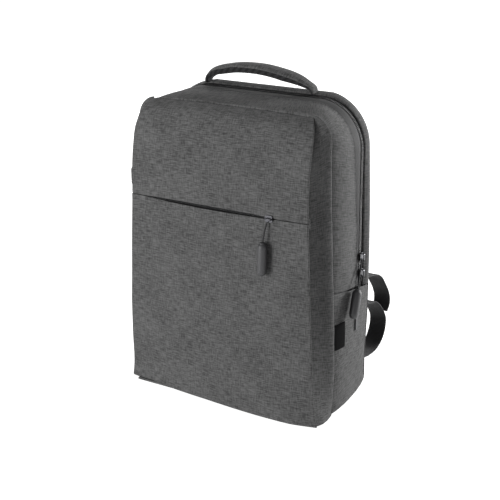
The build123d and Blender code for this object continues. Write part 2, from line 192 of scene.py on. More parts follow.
# %% [markdown]
# ## Melange polyester, 600 denier, plain weave
# The outer cloth is woven from yarns spun of dark and light grey fibre. The weft yarns run across the panel
# and are uneven, so the cloth shows short level streaks, called slubs, in two tones. A real yarn is about
# 0.45 mm wide, too fine for this view, so the weave is drawn at 1.1 mm, and the slubs at 7 to 18 mm by
# about 1.3 mm. The two tones are set well apart, because the streaks blend at this distance. A little sheen
# stands for the fibre ends that catch the light.

# %% Melange cloth
def melange_cloth(name, dark, light, coordinates="UV", weave_mm=1.1, bump=0.35):
    m = blank(name)
    place = add(m, "ShaderNodeTexCoord").outputs[coordinates]
    slub_map = add(m, "ShaderNodeMapping", {"Vector": place, "Scale": (1 / 0.012, 1 / 0.0013, 1 / 0.0013)})
    slub = add(m, "ShaderNodeTexNoise", {
        "Vector": slub_map.outputs[0], "Scale": 1.0, "Detail": 3.0, "Roughness": 0.6})
    warp_map = add(m, "ShaderNodeMapping", {"Vector": place, "Scale": (1 / 0.0014, 1 / 0.009, 1 / 0.0014)})
    warp = add(m, "ShaderNodeTexNoise", {
        "Vector": warp_map.outputs[0], "Scale": 1.0, "Detail": 2.0, "Roughness": 0.5})
    cloud = add(m, "ShaderNodeTexNoise", {"Vector": place, "Scale": 1 / 0.05, "Detail": 2.0})
    streak = add(m, "ShaderNodeMix", {0: 0.36, 2: slub.outputs["Fac"], 3: warp.outputs["Fac"]})
    soft = add(m, "ShaderNodeMix", {0: 0.14, 2: streak.outputs[0], 3: cloud.outputs["Fac"]})
    level = add(m, "ShaderNodeMapRange", {"Value": soft.outputs[0], "From Min": 0.385, "From Max": 0.615})
    tone = two_tone(m, level.outputs[0], dark, light)
    across = add(m, "ShaderNodeTexWave", {"Vector": place, "Scale": bands(weave_mm), "Distortion": 0.6},
                 bands_direction="X")
    along = add(m, "ShaderNodeTexWave", {"Vector": place, "Scale": bands(weave_mm), "Distortion": 0.6},
                bands_direction="Y")
    woven = add(m, "ShaderNodeMath", {0: across.outputs["Fac"], 1: along.outputs["Fac"]}, operation="MAXIMUM")
    height = add(m, "ShaderNodeMath", {0: woven.outputs[0], 1: slub.outputs["Fac"]}, operation="ADD")
    relief = add(m, "ShaderNodeBump", {"Height": height.outputs[0], "Strength": bump, "Distance": 0.0004})
    shader = add(m, "ShaderNodeBsdfPrincipled", {
        "Base Color": tone.outputs[2], "Roughness": 0.88, "Sheen Weight": 0.05, "Sheen Roughness": 0.45,
        "Specular IOR Level": 0.25, "Normal": relief.outputs[0]})
    return finish_with(m, shader)


cloth_grey = melange_cloth("melange_polyester", "323232", "666666")
cloth_grey_fine = melange_cloth("melange_polyester_on_padding", "323232", "666666", coordinates="Object")

# %% [markdown]
# ## Black cloths: webbing, tape, lining and air mesh
# Polypropylene webbing has ribs across its length every 2 mm or so, zipper tape is a fine close weave, the
# lining is thin and slightly shiny, and air mesh is an open knit with small round holes 4 mm apart over
# dark foam.

# %% Webbing, tape and lining
def ribbed_cloth(name, colour, highlight, rib_mm, direction, bump=0.6, roughness=0.72, coordinates="UV",
                 gloss=0.3):
    m = blank(name)
    place = add(m, "ShaderNodeTexCoord").outputs[coordinates]
    ribs = add(m, "ShaderNodeTexWave", {
        "Vector": place, "Scale": bands(rib_mm), "Distortion": 0.4, "Detail": 1.0}, bands_direction=direction)
    fuzz = add(m, "ShaderNodeTexNoise", {"Vector": place, "Scale": 1 / 0.0012, "Detail": 3.0})
    tint = add(m, "ShaderNodeMath", {0: ribs.outputs["Fac"], 1: fuzz.outputs["Fac"]}, operation="MULTIPLY")
    tone = two_tone(m, tint.outputs[0], colour, highlight)
    height = add(m, "ShaderNodeMath", {0: ribs.outputs["Fac"], 1: fuzz.outputs["Fac"]}, operation="ADD")
    relief = add(m, "ShaderNodeBump", {"Height": height.outputs[0], "Strength": bump, "Distance": 0.0005})
    shader = add(m, "ShaderNodeBsdfPrincipled", {
        "Base Color": tone.outputs[2], "Roughness": roughness, "Sheen Weight": gloss / 3,
        "Specular IOR Level": gloss, "Normal": relief.outputs[0]})
    return finish_with(m, shader)


webbing_black = ribbed_cloth("polypropylene_webbing", "1a1a1b", "3c3c3e", 2.0, "Y")
tape_black = ribbed_cloth("zipper_tape_weave", "131314", "262627", 1.2, "X", bump=0.3)
lining_black = ribbed_cloth("lining_taffeta", "1d1d1f", "2b2b2d", 1.0, "X", bump=0.2, roughness=0.6,
                            coordinates="Object")
handle_rib = ribbed_cloth("handle_rib_tape", "060607", "343436", 5.0, "DIAGONAL", bump=1.0, roughness=0.85)
label_black = ribbed_cloth("woven_label", "0c0c0d", "161617", 1.0, "Y", bump=0.3, roughness=0.95, gloss=0.04)


# %% Air mesh
def knit_mesh(name):
    m = blank(name)
    place = add(m, "ShaderNodeTexCoord").outputs["Object"]
    cells = add(m, "ShaderNodeTexVoronoi", {"Vector": place, "Scale": 1 / 0.0042, "Randomness": 0.25})
    hole = add(m, "ShaderNodeMapRange", {
        "Value": cells.outputs["Distance"], "From Min": 0.22, "From Max": 0.42})
    tone = two_tone(m, hole.outputs[0], "09090a", "2c2c2e")
    relief = add(m, "ShaderNodeBump", {"Height": hole.outputs[0], "Strength": 0.8, "Distance": 0.0008})
    shader = add(m, "ShaderNodeBsdfPrincipled", {
        "Base Color": tone.outputs[2], "Roughness": 0.9, "Sheen Weight": 0.15, "Normal": relief.outputs[0]})
    return finish_with(m, shader)


air_mesh = knit_mesh("air_mesh_knit")

# %% [markdown]
# ## Hard trim
# The zipper coil is nylon, the sliders are die-cast zinc with a dark plating that has worn bright on the
# edges, the pulls are soft moulded rubber with a fine matt skin, and the buckles are acetal.

# %% Hard trim materials
def moulded(name, colour, roughness, grain_mm, bump, metallic=0.0, ior=1.5, worn=None):
    m = blank(name)
    place = add(m, "ShaderNodeTexCoord").outputs["Object"]
    grain = add(m, "ShaderNodeTexNoise", {"Vector": place, "Scale": 1000 / grain_mm, "Detail": 4.0})
    relief = add(m, "ShaderNodeBump", {"Height": grain.outputs["Fac"], "Strength": bump, "Distance": 0.0002})
    patch = add(m, "ShaderNodeTexNoise", {"Vector": place, "Scale": 1 / 0.012, "Detail": 2.0})
    shine = add(m, "ShaderNodeMapRange", {"Value": patch.outputs["Fac"], "To Min": roughness - 0.06,
                                          "To Max": roughness + 0.08})
    tone = two_tone(m, patch.outputs["Fac"], colour, worn or colour)
    shader = add(m, "ShaderNodeBsdfPrincipled", {
        "Base Color": tone.outputs[2], "Roughness": shine.outputs[0], "Metallic": metallic, "IOR": ior,
        "Normal": relief.outputs[0]})
    return finish_with(m, shader)


pull_rubber = moulded("moulded_rubber", "2b2b2d", 0.52, 0.5, 0.25, ior=1.52, worn="343436")
plated_zinc = moulded("dark_plated_zinc", "3a3a3d", 0.3, 0.8, 0.15, metallic=1.0, worn="8d8d92")
coil_nylon = moulded("nylon_coil", "121213", 0.42, 0.6, 0.1, ior=1.53, worn="1d1d1f")
acetal = moulded("acetal", "161617", 0.45, 0.7, 0.3, ior=1.48, worn="1e1e20")
cord_black = moulded("braided_cord", "121213", 0.75, 0.6, 0.9, worn="2a2a2c")
thread_grey = moulded("sewing_thread", "3d3d3e", 0.8, 0.4, 0.5, worn="4a4a4b")
board_grey = moulded("stiffener_sheet", "3b3b3d", 0.6, 0.9, 0.3, worn="454548")
plated_zinc_dark = moulded("black_nickel", "2a2a2c", 0.32, 0.8, 0.15, metallic=1.0, worn="5c5c60")


# %% Studio paper
def paper(name):
    """White sweep that gives off a little light itself, so that it stays white far from the lamps."""
    m = blank(name)
    shader = add(m, "ShaderNodeBsdfPrincipled", {
        "Base Color": hexa("f4f4f4"), "Roughness": 0.8, "Emission Color": (1, 1, 1, 1),
        "Emission Strength": 0.75})
    return finish_with(m, shader)


floor_white = paper("studio_paper")
print("materials", len(bpy.data.materials))

# %% [markdown]
# ## Cloth as grids of points
# A sewn panel is a sheet with two directions, so each panel is made as a grid of points: rows up the panel,
# columns across it. The grid gives the cloth its UV map in metres for free, so the weave keeps its real
# size and runs with the panel. A Solidify modifier then gives the cloth its thickness, inwards, and one
# subdivision smooths it.

# %% Grid helpers
INSIDE = np.array((0.0, 0.012, 0.2))


def smooth_path(points, count):
    """count points, evenly spaced, on a smooth line through a few given ones."""
    p = np.array(points, float)
    steps = np.linalg.norm(np.diff(p, axis=0), axis=1)
    at = np.concatenate([[0], np.cumsum(steps)])
    slope = np.gradient(p, at, axis=0)
    want = np.linspace(0, at[-1], count)
    i = np.clip(np.searchsorted(at, want, side="right") - 1, 0, len(at) - 2)
    h = (at[i + 1] - at[i])[:, None]
    u = (want - at[i])[:, None] / h
    first = (2 * u**3 - 3 * u**2 + 1) * p[i] + (u**3 - 2 * u**2 + u) * h * slope[i]
    return first + (3 * u**2 - 2 * u**3) * p[i + 1] + (u**3 - u**2) * h * slope[i + 1]


def lengths(points):
    return np.concatenate([[0], np.cumsum(np.linalg.norm(np.diff(points, axis=0), axis=1))])


def uneven(points, size, height, seed):
    """Smooth random heights for an array of points: size is the width of one swell."""
    flat = points.reshape(-1, 3) / size + seed * 7.31
    values = [noise.noise(Vector(q)) for q in flat]
    return height * np.array(values).reshape(points.shape[:-1])


def new_object(name, mesh, material):
    piece = bpy.data.objects.new(name, mesh)
    bpy.context.scene.collection.objects.link(piece)
    mesh.materials.append(material)
    for polygon in mesh.polygons:
        polygon.use_smooth = True
    return piece


def facing_out(mesh, inside=INSIDE):
    """Turns the faces over if most of them look towards the middle of the bag."""
    centres = np.empty(len(mesh.polygons) * 3)
    normals = np.empty(len(mesh.polygons) * 3)
    mesh.polygons.foreach_get("center", centres)
    mesh.polygons.foreach_get("normal", normals)
    away = ((centres.reshape(-1, 3) - inside) * normals.reshape(-1, 3)).sum()
    if away < 0:
        mesh.flip_normals()


def sheet_mesh(name, grid, inside=INSIDE, closed=False, turn_uv=False):
    """A mesh from a (rows, columns, 3) grid, with a UV map in metres. closed joins the last column to the
    first."""
    rows, columns = grid.shape[:2]
    up = lengths(grid[:, columns // 2])
    mid = grid[rows // 2]
    across = lengths(np.vstack([mid, mid[:1]]) if closed else mid)
    across = across - across[columns // 2]
    faces = []
    corners = []
    wide = columns if closed else columns - 1
    for r in range(rows - 1):
        for c in range(wide):
            d = (c + 1) % columns
            faces.append((r * columns + c, r * columns + d, (r + 1) * columns + d, (r + 1) * columns + c))
            left, right, low, high = across[c], across[c + 1], up[r], up[r + 1]
            corners.extend([(left, low), (right, low), (right, high), (left, high)])
    mesh = bpy.data.meshes.new(name)
    mesh.from_pydata(grid.reshape(-1, 3).tolist(), [], faces)
    layer = mesh.uv_layers.new(name="cut")
    values = np.array(corners)
    if turn_uv:
        values = values[:, ::-1]
    layer.data.foreach_set("uv", values.ravel())
    facing_out(mesh, inside)
    mesh.update()
    return mesh


def apply_modifiers(piece):
    depsgraph = bpy.context.evaluated_depsgraph_get()
    made = bpy.data.meshes.new_from_object(piece.evaluated_get(depsgraph))
    piece.modifiers.clear()
    piece.data = made
    return piece


def cloth_piece(name, grid, material, thickness=1.2 * MM, subdivide=1, **options):
    piece = new_object(name, sheet_mesh(name, grid, **options), material)
    if thickness:
        solid = piece.modifiers.new("thickness", "SOLIDIFY")
        solid.thickness = thickness
        solid.offset = -1
    if subdivide:
        rounder = piece.modifiers.new("smooth", "SUBSURF")
        rounder.levels = rounder.render_levels = subdivide
    apply_modifiers(piece)
    print(name, "faces", len(piece.data.polygons))
    return piece


# %% [markdown]
# ## The bag's outline at any depth
# The gusset runs up one side, round a corner, across the top and down again. Its corners are small at the
# front seam and large at the zipper, and it narrows a little towards the back. The same few sizes as in the
# CAD frame, read from its boxes where they can be, draw that outline at any depth.

# %% Outline
low_cover, high_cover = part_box("cover_gusset")
high_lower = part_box("lower_gusset")[1]
high_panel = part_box("back_panel")[1]
HALF, HALF_BACK = high_lower.x, high_panel.x
Y_SEAM, Y_BACK = low_cover.y, high_lower.y
Y_ZIP = (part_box("zipper_coil_front")[1].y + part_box("zipper_coil_rear")[0].y) / 2
Y_LIP_FRONT, Y_LIP_REAR = high_cover.y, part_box("rear_gusset")[0].y
ZIP_END_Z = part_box("zipper_coil_front")[0].z
TOPS = (0.397, 0.404, high_panel.z)
CORNERS = (0.030, 0.062, 0.066)
FEET = (0.002, 0.009, 0.020)


def at_depth(y):
    """Half width, top height, top corner radius and foot radius at depth y."""
    stops = (Y_SEAM, Y_ZIP, Y_BACK)
    return [float(np.interp(y, stops, v)) for v in ((HALF, HALF, HALF_BACK), TOPS, CORNERS, FEET)]


def side_seam_z(y):
    """Height of the level seam below the zipper's ends: it drops a little towards the back."""
    return float(np.interp(y, (-0.031, 0.0635), (0.1690, 0.1555)))


def with_mirror(points, out, y):
    right = np.stack([points[:, 0], np.full(len(points), y), points[:, 1]], axis=1)
    outward = np.stack([out[:, 0], 0 * out[:, 0], out[:, 1]], axis=1)
    flip = np.array((-1, 1, 1))
    return np.vstack([right, (right * flip)[-2::-1]]), np.vstack([outward, (outward * flip)[-2::-1]])


def hoop(y, start_z=None, side=40, corner=26, top=24):
    """The arch at depth y from the right side seam over the top to the left one, and its outward directions."""
    half, high, radius, _ = at_depth(y)
    start_z = side_seam_z(y) if start_z is None else start_z
    heights = np.concatenate([start_z + np.array((0, 0.7, 1.6, 3.0)) * MM,
                              np.linspace(start_z + 5 * MM, high - radius, side, endpoint=False)])
    points = [(half, z) for z in heights]
    out = [(1, 0)] * len(heights)
    for a in np.linspace(0, math.pi / 2, corner, endpoint=False):
        points.append((half - radius + radius * math.cos(a), high - radius + radius * math.sin(a)))
        out.append((math.cos(a), math.sin(a)))
    for x in np.linspace(half - radius, 0, top):
        points.append((x, high))
        out.append((0, 1))
    return with_mirror(np.array(points, float), np.array(out, float), y)


def sling(y, side=34, corner=12, base=30):
    """The lower outline at depth y: down the right side, round the foot, under the base, up the left side."""
    half, _, _, foot = at_depth(y)
    start_z = side_seam_z(y) - 0.4 * MM
    heights = np.concatenate([start_z - np.array((0, 0.7, 1.6, 3.0)) * MM,
                              np.linspace(start_z - 5 * MM, foot, side, endpoint=False)])
    points = [(half, z) for z in heights]
    out = [(1, 0)] * len(heights)
    for a in np.linspace(0, math.pi / 2, corner, endpoint=False):
        points.append((half - foot + foot * math.cos(a), foot - foot * math.sin(a)))
        out.append((math.cos(a), -math.sin(a)))
    for x in np.linspace(half - foot, 0, base):
        points.append((x, 0))
        out.append((0, -1))
    return with_mirror(np.array(points, float), np.array(out, float), y)


# %% [markdown]
# ## Where the front seam runs
# The seam between the pocket's side and the main gusset isn't quite straight. Low down it is drawn in and
# back by a few millimetres, because the cloth is pulled round the foot corner, and it is fullest at the top
# corner.

# %% Front seam
SEAM_Z = (0.0, 0.013, 0.057, 0.12, 0.197, 0.28, 0.3525, 0.40)
SEAM_PULL = np.array((-0.5, -1.5, -2.5, -1.5, 1.0, 3.0, 2.8, 1.5)) * MM
SEAM_BACK = np.array((0.0, 3.0, 6.0, 5.5, 4.5, 3.0, 0.0, 0.0)) * MM


def draw_in(points, out):
    """Moves a hoop at the front seam to where the seam really runs."""
    pull = np.interp(points[:, 2], SEAM_Z, SEAM_PULL)
    moved = points - out * (pull * np.abs(out[:, 0]))[:, None]
    moved[:, 1] += np.interp(points[:, 2], SEAM_Z, SEAM_BACK)
    return moved


def strip(front, rear, out, profile, seed, ripple=0.5 * MM):
    """Columns of cloth between two hoops. Each row of profile is a share of the way from front to rear, the
    height above the flat strip where the bag faces sideways, and the height where it faces up or down, in
    millimetres."""
    sideways = np.abs(out[:, :1])
    columns = []
    for share, side_height, top_height in profile:
        line = front + (rear - front) * share
        height = (top_height + (side_height - top_height) * sideways) * MM
        fade = math.sin(math.pi * min(max(share, 0), 1))
        bumps = (uneven(line, 0.045, ripple, seed) + uneven(line, 0.016, 0.35 * ripple, seed + 3)) * fade
        columns.append(line + out * (height + bumps[:, None]))
    return np.stack(columns, axis=1)


def tuck_ends(grid, out, depth=1.5 * MM):
    """Turns the first and last few rows inwards, where the strip is folded under along a cross seam."""
    for row, share in ((0, 1.0), (1, 0.45), (2, 0.12), (-1, 1.0), (-2, 0.45), (-3, 0.12)):
        grid[row] -= out[row] * depth * share
    return grid


# %% [markdown]
# ## Main gusset, in front of the zipper
# On the sides this strip rises out of a deep groove beside the front seam in a long soft curve, because the
# foam in it holds it out. Across the top it starts with a small rolled edge. It ends in a folded lip along
# the zipper tape, which opens a little wider over the top than down the sides.

# %% Main gusset
front_line, out = hoop(Y_SEAM)
sling_front, out_low = sling(Y_SEAM)
front_line = draw_in(front_line, out)
sling_front = draw_in(sling_front, out_low)
sling_front[:, 2] = np.maximum(sling_front[:, 2], 0.3 * MM)


def zipper_edge(y, lifts):
    """A hoop at depth y, moved back or forward by so many millimetres at a few heights."""
    line, _ = hoop(y)
    line[:, 1] += np.interp(line[:, 2], (0.16, 0.245, 0.28, 0.33, 0.36, 0.40), lifts) * MM
    return line


FRONT_LIFTS = (4.0, 4.0, 0.0, -4.5, -8.0, -11.0)
REAR_LIFTS = (1.5, 1.0, -0.5, -1.0, -0.5, 0.5)
SLUMP = 4.0 * MM                # the left top corner has less foam in it and sinks by this much
SLUMP_X, SLUMP_Z = -0.122, 0.392
lip_line = zipper_edge(Y_LIP_FRONT, FRONT_LIFTS)
main_profile = [
    (-0.030, -8.5, -5.5), (-0.008, -6.6, -2.2), (0.0, -5.2, 0.6), (0.014, -4.3, 1.7), (0.034, -3.4, 1.8),
    (0.058, -2.5, 1.1), (0.09, -1.6, 0.5), (0.13, -0.7, 0.3), (0.18, 0.2, 0.3), (0.24, 0.9, 0.6),
    (0.31, 1.5, 0.9), (0.39, 2.0, 1.1), (0.47, 2.2, 1.2), (0.55, 2.3, 1.2), (0.63, 2.2, 1.1),
    (0.71, 1.9, 1.0), (0.78, 1.6, 0.8), (0.845, 1.3, 0.6), (0.895, 1.1, 0.6), (0.93, 1.1, 0.8),
    (0.958, 1.3, 1.1), (0.982, 1.1, 1.0), (0.998, 0.5, 0.4), (1.0, -0.6, -0.6), (0.985, -1.6, -1.6),
    (0.93, -2.0, -2.0)]
main_grid = strip(front_line, lip_line, out, main_profile, 1)
slump = np.exp(-((main_grid[:, :, 0] - SLUMP_X) / 0.026) ** 2 - ((main_grid[:, :, 2] - SLUMP_Z) / 0.03) ** 2)
main_grid -= out[:, None, :] * (SLUMP * slump)[:, :, None]
main_grid = tuck_ends(main_grid, out)
main_gusset = cloth_piece("main_gusset_cloth", main_grid, cloth_grey)
HINGE_START, HINGE_END = (0, 0, 0.150), (0, 0, 0.235)
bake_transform(main_gusset, "bag", "front_cover", start=HINGE_START, end=HINGE_END)
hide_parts("cover_gusset")

# %% Rear gusset
def back_swell(z):
    """The foam in the back pushes its edge out a little, most of all just below the middle."""
    return np.interp(z, (0.05, 0.12, 0.20, 0.27, 0.35), np.array((0.5, 3.2, 3.6, 2.8, 0.0)) * MM)


def swollen(line):
    line[:, 0] += np.sign(line[:, 0]) * back_swell(line[:, 2]) * (np.abs(line[:, 0]) > 0.13)
    return line


rear_lip_line = zipper_edge(Y_LIP_REAR, REAR_LIFTS)
back_line = swollen(hoop(Y_BACK + 2.5 * MM)[0])
rear_profile = [
    (0.10, -2.0, -2.0), (0.0, -1.6, -1.6), (-0.03, -0.6, -0.6), (-0.03, 0.6, 0.6), (0.03, 1.2, 1.2),
    (0.12, 1.3, 1.2), (0.22, 1.7, 1.2), (0.33, 2.2, 1.3), (0.45, 2.5, 1.4), (0.57, 2.5, 1.3),
    (0.68, 2.1, 1.1), (0.78, 1.3, 0.7), (0.87, 1.0, 0.2), (0.94, 0.3, -0.6), (0.985, -0.8, -1.6),
    (1.0, -2.4, -3.0)]
rear_grid = tuck_ends(strip(rear_lip_line, back_line, out, rear_profile, 2, ripple=0.4 * MM), out)
rear_gusset = cloth_piece("rear_gusset_cloth", rear_grid, cloth_grey)
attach(rear_gusset, "bag")
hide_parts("rear_gusset")

# %% [markdown]
# ## Lower gusset
# Below the zipper's ends one wide strip runs down each side and under the base. It is sewn to the two upper
# strips in a nearly level seam that puckers the cloth below it. It is flat underneath, where the bag
# stands.

# %% Lower gusset
sling_back = swollen(sling(Y_BACK + 2.5 * MM)[0])
lower_profile = [
    (-0.020, -8.5, -2.0), (-0.006, -6.6, -1.2), (0.0, -5.2, -0.4), (0.010, -4.3, 0.0), (0.024, -3.4, 0.0),
    (0.042, -2.5, 0.0), (0.066, -1.6, 0.0), (0.10, -0.7, 0.0), (0.14, 0.1, 0.0), (0.19, 0.8, 0.0),
    (0.25, 1.4, 0.0), (0.32, 1.9, 0.0), (0.39, 2.3, 0.0), (0.46, 2.5, 0.0), (0.53, 2.6, 0.0),
    (0.60, 2.6, 0.0), (0.67, 2.5, 0.0), (0.74, 2.3, 0.0), (0.80, 1.9, 0.0), (0.86, 1.3, 0.0),
    (0.91, 1.1, -0.2), (0.95, 0.5, -0.8), (0.98, -0.7, -1.6), (1.0, -2.4, -2.4)]
lower_grid = strip(sling_front, sling_back, out_low, lower_profile, 4)
SIDE_SEAM_Z = 0.165             # middle height of the side seam, where the cloth puckers
seam_distance = np.abs(lower_grid[:, :, 2] - SIDE_SEAM_Z)
pucker = uneven(lower_grid * np.array((1, 1, 0.5)), 0.011, 1.2 * MM, 9) * np.exp(-(seam_distance / 0.018) ** 2)
lower_grid += out_low[:, None, :] * (pucker * np.abs(out_low[:, :1]))[:, :, None]
lower_grid = tuck_ends(lower_grid, out_low)
lower_grid[:, :, 2] = np.maximum(lower_grid[:, :, 2], 0.3 * MM)
lower_gusset = cloth_piece("lower_gusset_cloth", lower_grid, cloth_grey)
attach(lower_gusset, "bag")
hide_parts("lower_gusset")

# %% [markdown]
# ## Lining
# The lining is thin taffeta, sewn in at the same seams and hanging about 9 mm inside the outer cloth. It
# shows only when the bag is open, so it needs no more than flat strips that follow the same hoops.

# %% Lining
def lining_strip(name, front, rear, out, gap_mm, *stands_for):
    profile = [(share, -gap_mm - 2.0 * math.sin(math.pi * share), -gap_mm)
               for share in np.linspace(0.02, 0.98, 7)]
    grid = strip(front, rear, out, profile, 6, ripple=1.2 * MM)
    piece = cloth_piece(name, grid, lining_black, thickness=0.4 * MM, subdivide=0)
    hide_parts(*stands_for)
    return piece


cover_lining = lining_strip("cover_lining_taffeta", front_line, lip_line, out, 9.5, "cover_lining")
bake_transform(cover_lining, "bag", "front_cover", start=HINGE_START, end=HINGE_END)
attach(lining_strip("rear_lining_taffeta", rear_lip_line, back_line, out, 6.0, "rear_lining"), "bag")
lower_lining = lining_strip("lower_lining_taffeta", sling_front, sling_back, out_low, 9.5, "lower_lining")
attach(lower_lining, "bag")

# %% [markdown]
# ## Front panel
# The front panel is one width of cloth, cut by the pocket zipper. It leans back to the seam at the top and
# tucks under at the base. Down each side its edge is folded and stitched, so that it stands proud of the
# pocket's gusset as a thin rolled line. A middle line and an edge line carry the whole shape, and every row
# is drawn between them.

# %% Front panel lines
PANEL_ROWS = 150
middle_line = smooth_path([(0, -0.0800, 0.0004), (0, -0.0812, 0.018), (0, -0.0803, 0.07), (0, -0.0780, 0.14),
                           (0, -0.0757, 0.21), (0, -0.0742, 0.28), (0, -0.0715, 0.332), (0, -0.0645, 0.368),
                           (0, -0.0525, 0.389), (0, -0.0372, 0.3972)], PANEL_ROWS)
edge_line = smooth_path([(0.1480, -0.0695, 0.0008), (0.1437, -0.0700, 0.022), (0.1398, -0.0704, 0.07),
                         (0.1360, -0.0706, 0.14), (0.1335, -0.0706, 0.21), (0.1310, -0.0700, 0.28),
                         (0.1312, -0.0680, 0.332), (0.1312, -0.0615, 0.366), (0.1275, -0.0500, 0.386),
                         (0.1205, -0.0368, 0.3950)], PANEL_ROWS)
left_extra = np.interp(edge_line[:, 2], (0, 0.05, 0.12, 0.20, 0.27, 0.30, 0.336, 0.37),
                       np.array((3, 5, 7, 6, 5, 4.5, 2.5, 0)) * MM)
edge_lines = {1: edge_line, -1: (edge_line + left_extra[:, None] * np.array((1, 0, 0))) * np.array((-1, 1, 1))}
tangent = np.gradient(middle_line, axis=0)
tangent /= np.linalg.norm(tangent, axis=1)[:, None]
panel_out = np.stack([0 * tangent[:, 0], -tangent[:, 2], tangent[:, 1]], axis=1)


def foot_shift(x, z):
    """How far the panel's foot stands back, in metres: the bag's weight pushes its right half forward."""
    back = np.interp(x, (-0.15, -0.097, -0.019, 0.059, 0.115, 0.147),
                     np.array((4.7, 5.6, 2.5, -3.0, -6.4, -3.0)) * MM)
    return float(back * math.exp(-(z / 0.055) ** 2))


def panel_point(share, row):
    """A point of the front panel: share runs from -1 at the left fold to 1 at the right one."""
    edge = edge_lines[1 if share > 0 else -1][row]
    mix = abs(share) ** 2.4
    point = middle_line[row] * (1 - mix) + edge * mix
    point[0] = abs(share) * edge[0]
    point[1] += foot_shift(point[0], point[2])
    return point


# %% [markdown]
# The folded edge is a small half round, made of a few extra columns that turn back and run in behind the
# panel. It fades out at the top, where the fold is caught in the seam. The two pocket lips are turned in
# the same way.

# %% Front panel sheets
FOLD_RADIUS = 1.5 * MM
pocket_low, pocket_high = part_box("pocket_zipper_coil")
POCKET_Z = (pocket_low.z + pocket_high.z) / 2
SLIT_LEFT, SLIT_RIGHT = pocket_low.x, pocket_high.x
SLIT_OPEN, SEAM_GAP = 4.4 * MM, 0.5 * MM
LIP_TURN = 4.6 * MM             # how far from the slit's middle the panel stops and its turned lip starts
DENTED_X, DENTED_Z = 0.128, 0.392   # the cloth is uneven inside these and pulled smooth beyond them


def slit(x):
    """How far the pocket's two lips stand apart at x."""
    share = np.clip((x - SLIT_LEFT) / (SLIT_RIGHT - SLIT_LEFT), 0, 1)
    return SEAM_GAP + (SLIT_OPEN - SEAM_GAP) * np.sin(math.pi * share) ** 0.6


def panel_sheet(name, rows, lip_side):
    """The chosen rows of the panel. lip_side is +1 if the zipper runs along its top, -1 along its base."""
    lines = []
    for r in rows:
        fade = min(1.0, (PANEL_ROWS - 1 - r) / 10)
        radius = FOLD_RADIUS * (0.15 + 0.85 * fade)
        flat = np.array([panel_point(s, r) for s in np.linspace(-1, 1, 96)])
        ends = []
        for sign in (-1, 1):
            curl = [panel_point(sign, r) + np.array((sign * radius * math.sin(a), 0, 0))
                    - panel_out[r] * radius * (1 - math.cos(a)) for a in np.linspace(0.35, math.pi, 7)]
            ends.append(curl + [curl[-1] - np.array((sign * k * MM, 0, 0)) for k in (2.0, 4.5, 7.0)])
        lines.append(np.vstack([ends[0][::-1], flat, ends[1]]))
    grid = np.array(lines)
    dents = uneven(grid, 0.085, 1.6 * MM, 11) + uneven(grid, 0.03, 0.4 * MM, 12)
    side_fade = np.clip((DENTED_X - np.abs(grid[:, :, 0])) / 0.03, 0, 1)
    end_fade = np.clip((DENTED_Z - grid[:, :, 2]) / 0.03, 0, 1) * np.clip(grid[:, :, 2] / 0.02, 0, 1)
    grid += panel_out[rows][:, None, :] * (dents * side_fade * end_fade)[:, :, None]
    lip = grid[-1 if lip_side > 0 else 0].copy()
    lip[:, 2] = POCKET_Z - lip_side * slit(lip[:, 0]) / 2
    radius = 1.1 * MM
    turned = []
    for a in np.linspace(0, math.pi * 0.95, 6):
        turned.append(lip + np.array((0, radius * (1 - math.cos(a)), lip_side * radius * (math.sin(a) - 1))))
    for k in (1, 2):
        turned.append(turned[5] - np.array((0, 0, lip_side * k * 3 * MM)))
    turned = np.array(turned)
    grid = np.concatenate([grid, turned] if lip_side > 0 else [turned[::-1], grid])
    return cloth_piece(name, grid, cloth_grey, thickness=0.9 * MM)


heights = middle_line[:, 2]
front_lower = panel_sheet("front_panel_lower_cloth", np.flatnonzero(heights < POCKET_Z - LIP_TURN), 1)
front_upper = panel_sheet("front_panel_upper_cloth", np.flatnonzero(heights > POCKET_Z + LIP_TURN), -1)
PANEL_START, PANEL_END = (0, -0.033, 0.150), (0, -0.0755, 0.1925)
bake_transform(front_lower, "bag", "front_cover", start=PANEL_START, end=PANEL_END)
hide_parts("front_panel_lower", "front_panel_middle", "fold_cloth")
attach(front_upper, "front_cover")
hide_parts("front_panel_upper")

# %% [markdown]
# ## Pocket gussets
# Each side of the pocket is a strip from behind the panel's folded edge to the front seam. It is slightly
# hollow, and ends in a full roll that stands out just before the seam's groove. The two lines that it joins
# meet at the top.

# %% Pocket gussets
def resample(points, count):
    at = lengths(points)
    want = np.linspace(0, at[-1], count)
    return np.stack([np.interp(want, at, points[:, k]) for k in range(3)], axis=1)


half_hoop = len(front_line) // 2 + 1
half_sling = len(sling_front) // 2 + 1
seam_right = np.vstack([sling_front[:half_sling][::-1], front_line[:half_hoop]])
out_right = np.vstack([out_low[:half_sling][::-1], out[:half_hoop]])
on_side = (seam_right[:, 0] > 0.1205) & ((seam_right[:, 2] > 0.05) | (seam_right[:, 0] > 0.1462))
seam_path = resample(seam_right[on_side], PANEL_ROWS)
seam_out = resample(out_right[on_side], PANEL_ROWS)
hollow = [(0.02, -9.0), (0.05, -7.8), (0.09, -6.8), (0.15, -5.9), (0.22, -5.1), (0.30, -4.3), (0.39, -3.4),
          (0.48, -2.4), (0.56, -1.4), (0.63, -0.5), (0.70, 0.5), (0.765, 1.3), (0.82, 1.9), (0.87, 2.3),
          (0.92, 2.4), (0.955, 2.1), (0.978, 1.4), (0.990, 0.2), (0.996, -1.6), (0.995, -3.8),
          (0.985, -6.5)]


FOOT_SAG = 4.5 * MM             # the pocket's side bulges by this much just above the floor


